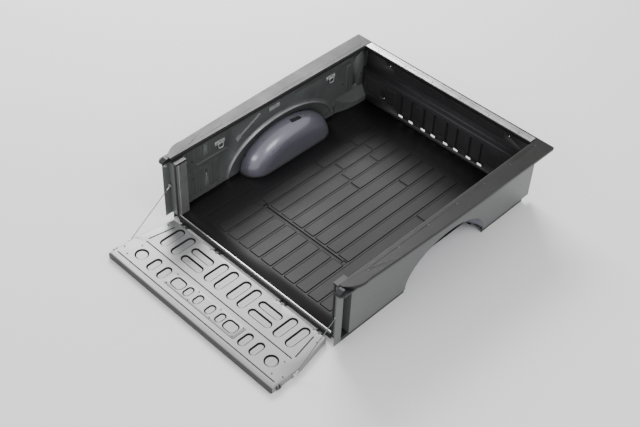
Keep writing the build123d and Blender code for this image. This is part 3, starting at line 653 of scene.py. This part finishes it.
def gate_features():
    """Pressed slots, discs and crease lines of the tailgate's inner skin."""
    features = []
    # the last number of each feature is the weight of the painted shade on its slopes
    for sign in SIDES.values():
        for x in (0.065, 0.170, 0.528, 0.646):
            features.append((block((sign * x, -0.180), (0.074, 0.215), 0.0369), -press_depth, press_slope, 1))
        for y in (-0.150, -0.248):
            features.append((block((sign * 0.351, y), (0.215, 0.066), 0.0329), -press_depth, press_slope, 1))
        for x in (0.420, 0.530):
            features.append((block((sign * x, -0.445), (0.066, 0.130), 0.0329), -press_depth, press_slope, 1))
        features.append((block((sign * 0.669, -0.445), (0.104, 0.104), 0.0519), -press_depth, press_slope, 1))
        features.append((block((sign * 0.7365, -0.205), (0.010, 0.215), 0.0049, turn=sign * 0.186),
                         -0.003, 0.004, 1))
    for y, length in ((-0.337, 1.50), (-0.551, 1.62)):
        features.append((block((0, y), (length, 0.009), 0.0044), -0.004, 0.0032, 1))
    return features


def make_gate():
    """The tailgate's pressed inner skin with its rolled rim and the four hinge knuckles."""
    mesh = bmesh.new()
    outline = inset(gate_outline(), gate_rim)
    opening = block((0, (access_low.y + access_high.y) / 2), (0.680, 0.100), 0.006)
    rim = [(-gate_rim * sin(radians(a)), gate_rim * (cos(radians(a)) - 1)) for a in (20, 45, 70, 90)]
    rim.append((-gate_rim, gate_low.z - gate_top + 0.010))
    rim.append((-gate_rim, 0.0035 - gate_top))
    pressed(mesh, outline, gate_features(), lambda x, y, h: (x, y, gate_top + h), [opening], rim)
    for station in stations:
        barrel = bmesh.ops.create_cone(mesh, cap_ends=True, segments=32, radius1=knuckle_radius,
                                       radius2=knuckle_radius, depth=knuckle_width)
        turn = Matrix.Translation((station, hinge_place.y, hinge_place.z)) @ Matrix.Rotation(pi / 2, 4, "Y")
        bmesh.ops.transform(mesh, matrix=turn, verts=barrel["verts"])
        tab = bmesh.ops.create_cube(mesh, size=1.0)
        seat = Matrix.Translation((station, hinge_place.y - tab_size[1] / 2, hinge_place.z))
        bmesh.ops.transform(mesh, matrix=seat @ Matrix.Diagonal((*tab_size, 1)), verts=tab["verts"])
    piece_from(mesh, "tailgate_inner_skin", "tailgate", "tailgate_metal", ("tailgate_panel",), 0, (0, 0, 1))


def make_access_panel():
    """The removable cover between the slots, with its own pressed pockets."""
    mesh = bmesh.new()
    middle = ((access_low.x + access_high.x) / 2, (access_low.y + access_high.y) / 2)
    size = (access_high.x - access_low.x, access_high.y - access_low.y)
    outline = inset(block(middle, size, 0.012), 0.0015)
    features = []
    for sign in SIDES.values():
        for x, width in ((0.062, 0.060), (0.165, 0.060), (0.270, 0.116)):
            radius = 0.0299 if width < 0.1 else 0.034
            features.append((block((sign * x, -0.441), (width, 0.094), radius), -0.0065, 0.0095, 1))
    rim = ((-0.001, -0.0004), (-0.0015, -0.0015), (-0.0015, -0.0028))
    pressed(mesh, outline, features, lambda x, y, h: (x, y, access_high.z + h), (), rim)
    piece_from(mesh, "tailgate_access_cover", "tailgate", "tailgate_metal", ("tailgate_access_panel",), 0,
               (0, 0, 1))


make_gate()
make_access_panel()

# ======================================================================
# Sill: a narrow bright bead on a dark tread
# ======================================================================

sill_low, sill_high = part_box("sill_strip")
bead_width = 0.009


def along_x(name, profile, half, slot, replaced=()):
    """A bar along X between -half and half, from its closed section of (y, z) points."""
    mesh = bmesh.new()
    rings = [[mesh.verts.new((x, y, z)) for y, z in profile] for x in (-half, half)]
    bridge(mesh, rings)
    for ring in rings:
        mesh.faces.new(ring)
    piece_from(mesh, name, "bed_lining", slot, replaced)


def make_sill():
    """The mat's rear edge: a bright bead and, behind it, a dark tread that reaches the sill's foot."""
    half, front, rear, top = sill_high.x, sill_high.y, sill_low.y, sill_high.z
    soft = 0.0012  # what the bead's two upper corners are cut off by
    bead = [(front, mat_top), (front, top - soft), (front - soft, top), (front - bead_width + soft, top)]
    bead += [(front - bead_width, top - soft), (front - bead_width, mat_top)]
    along_x("sill_bead", bead, half, "bright_trim", ("sill_strip",))
    tread_front, tread_top = front - bead_width - 0.0003, top - soft
    tread = [(tread_front, mat_top + 0.0001), (tread_front, tread_top), (rear + 0.003, tread_top - 0.0008)]
    tread += [(rear, tread_top - 0.004), (rear, sill_low.z), (rear + 0.004, sill_low.z)]
    tread.append((rear + 0.004, mat_top))
    along_x("sill_tread", tread, half, "seal_rubber")


make_sill()

# ======================================================================
# Rubber edging under the rails, whose dark colour also paints the shadow line under their inner edges, and
# the tailgate's support cables
# ======================================================================


def swept_bar(name, start, end, section, slot):
    """A straight bar along Y with a rounded rectangular section, given by its middle, size and radius."""
    mesh = bmesh.new()
    outline = block(*section, steps=4)
    rings = [vertex_ring(mesh, outline, lambda x, z, y: (x, y, z), y) for y in (start, end)]
    bridge(mesh, rings)
    for ring in rings:
        mesh.faces.new(ring)
    piece_from(mesh, name, "bed_lining", slot)


# dark rubber edging under each rail's inner edge, which also paints the shadow line there
for side, sign in SIDES.items():
    edge = (sign * (rail_low.x - 0.001), rail_high.z - 0.0185)
    swept_bar(f"rail_shade_edging_{side}", rail_low.y + 0.004, cap_low.y - 0.001, (edge, (0.008, 0.025), 0.0035),
              "seal_rubber")

cable_route = ((0.849, -0.014, 0.318), (0.849, -0.410, 0.026))
cable_radius = 0.003


def smooth_route(points):
    """Points along the smooth line of a cord's route, read from its spline."""
    curve = bpy.data.curves.new("route", "CURVE")
    curve.dimensions = "3D"
    spline = curve.splines.new("NURBS")
    spline.points.add(len(points) - 1)
    for target, point in zip(spline.points, points):
        target.co = (*point, 1)
    spline.order_u = 3
    spline.use_endpoint_u = True
    spline.resolution_u = 24
    holder = bpy.data.objects.new("route", curve)
    line = [vertex.co.copy() for vertex in bpy.data.meshes.new_from_object(holder).vertices]
    bpy.data.objects.remove(holder)
    return line


def tube(mesh, line, radii, across):
    """A round tube along a nearly straight line, with a radius at each point."""
    aside = (line[-1] - line[0]).normalized().cross(across).normalized()
    turns = [2 * pi * k / 14 for k in range(14)]
    rings = [[mesh.verts.new(point + radius * (cos(a) * across + sin(a) * aside)) for a in turns]
             for point, radius in zip(line, radii)]
    bridge(mesh, rings)
    mesh.faces.new(rings[0])
    mesh.faces.new(rings[-1])


def cable_end(name, body, end, way):
    """A flat eye round the stud, and the crimped sleeve that holds it on the rope."""
    mesh = bmesh.new()
    across = Vector((1, 0, 0))
    sleeve = [end + way * (0.012 + 0.004 * k) for k in range(8)]
    tube(mesh, sleeve, [0.0042, 0.0054, 0.0054, 0.0048, 0.0054, 0.0048, 0.0054, 0.0042], across)
    turns = [2 * pi * k / 28 for k in range(28)]
    eye = ((0.0053, 0.003), (0.0105, 0.003), (0.011, 0.0025), (0.011, -0.0025), (0.0105, -0.003),
           (0.0053, -0.003))
    rings = [[mesh.verts.new(end + Vector((half, radius * cos(a), radius * sin(a)))) for a in turns]
             for radius, half in eye]
    bridge(mesh, rings + rings[:1])
    return piece_from(mesh, name, body, "zinc_steel")


def make_cable(side, sign):
    """A taut wire rope from the post to the tailgate, with an eye at each end."""
    mesh = bmesh.new()
    top, foot = (Vector((sign * x, y, z)) for x, y, z in cable_route)
    line = smooth_route((top, foot))
    tube(mesh, line, [cable_radius] * len(line), Vector((1, 0, 0)))
    rope = piece_from(mesh, f"support_cable_rope_{side}", "", "cable_steel", (f"support_cable_{side}",))
    along = (foot - top).normalized()
    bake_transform(rope)
    ends = [cable_end(f"support_cable_eye_top_{side}", "bed_lining", top, along),
            cable_end(f"support_cable_eye_foot_{side}", "tailgate", foot, -along)]


for side, sign in SIDES.items():
    make_cable(side, sign)

# ======================================================================
# Soft edges on the CAD parts that stay
# ======================================================================

soft_edges = {"rail_cap": 0.0025, "rail_end_cap": 0.0025, "bulkhead_cap": 0.002, "tailgate_top_cap": 0.0035,
              "side_brace": 0.0012, "tie_down_plate": 0.001, "tailgate_latch": 0.001,
              "release_handle": 0.0012}
for name, obj in nodes.items():
    width = next((w for key, w in soft_edges.items() if name.startswith(key)), 0)
    if width:
        weld = obj.modifiers.new("weld", "WELD")
        weld.merge_threshold = 1e-5
        bevel = obj.modifiers.new("bevel", "BEVEL")
        bevel.width = width
        bevel.segments = 3
        bevel.limit_method = "ANGLE"
        bevel.angle_limit = radians(35)
        bevel.harden_normals = True

# ======================================================================
# Camera, light and floor
# ======================================================================

camera_place = Vector((3.943, -3.590, 5.736))
camera_target = Vector((0.02, 0.66, 0.20))
camera_roll = 2.7  # degrees
camera_lens = 62.0


def make_camera():
    """A camera behind and above the right-hand rear corner."""
    data = bpy.data.cameras.new("camera")
    data.lens = camera_lens
    camera = bpy.data.objects.new("camera", data)
    bpy.context.scene.collection.objects.link(camera)
    look = (camera_target - camera_place).to_track_quat("-Z", "Y")
    turn = Matrix.Rotation(radians(camera_roll), 4, "Z")
    camera.matrix_world = Matrix.Translation(camera_place) @ look.to_matrix().to_4x4() @ turn
    bpy.context.scene.camera = camera


def area_light(name, place, target, size, power):
    """A soft rectangular light that faces a point."""
    data = bpy.data.lights.new(name, "AREA")
    data.shape = "RECTANGLE"
    data.size, data.size_y = size
    data.energy = power
    light = bpy.data.objects.new(name, data)
    bpy.context.scene.collection.objects.link(light)
    place = Vector(place)
    look = (Vector(target) - place).to_track_quat("-Z", "Y")
    light.matrix_world = Matrix.Translation(place) @ look.to_matrix().to_4x4()


def make_stage():
    """Pale floor and surroundings, a soft key light from the front left and two weaker lights."""
    bpy.ops.mesh.primitive_plane_add(size=60, location=(0, 1, 0))
    floor = bpy.context.object
    floor.name = "studio_floor"
    material, tree, shader = new_material("studio_floor")
    shader.inputs["Base Color"].default_value = (0.95, 0.95, 0.95, 1)
    shader.inputs["Roughness"].default_value = 0.9
    floor.data.materials.append(material)
    world = bpy.data.worlds.new("studio")
    world.use_nodes = True
    background = world.node_tree.nodes["Background"]
    background.inputs["Color"].default_value = (1, 1, 1, 1)
    background.inputs["Strength"].default_value = 0.8
    bpy.context.scene.world = world
    area_light("key", (-6.1, 4.6, 5.9), (-0.4, 0.6, 0.2), (5.6, 3.2), 1000)
    area_light("fill", (4.5, 1.0, 6.0), (0, 0.8, 0.2), (3.0, 3.0), 110)
    area_light("rear", (0.5, -5.5, 5.5), (0, 0.0, 0.1), (4.0, 2.0), 90)


make_camera()
make_stage()
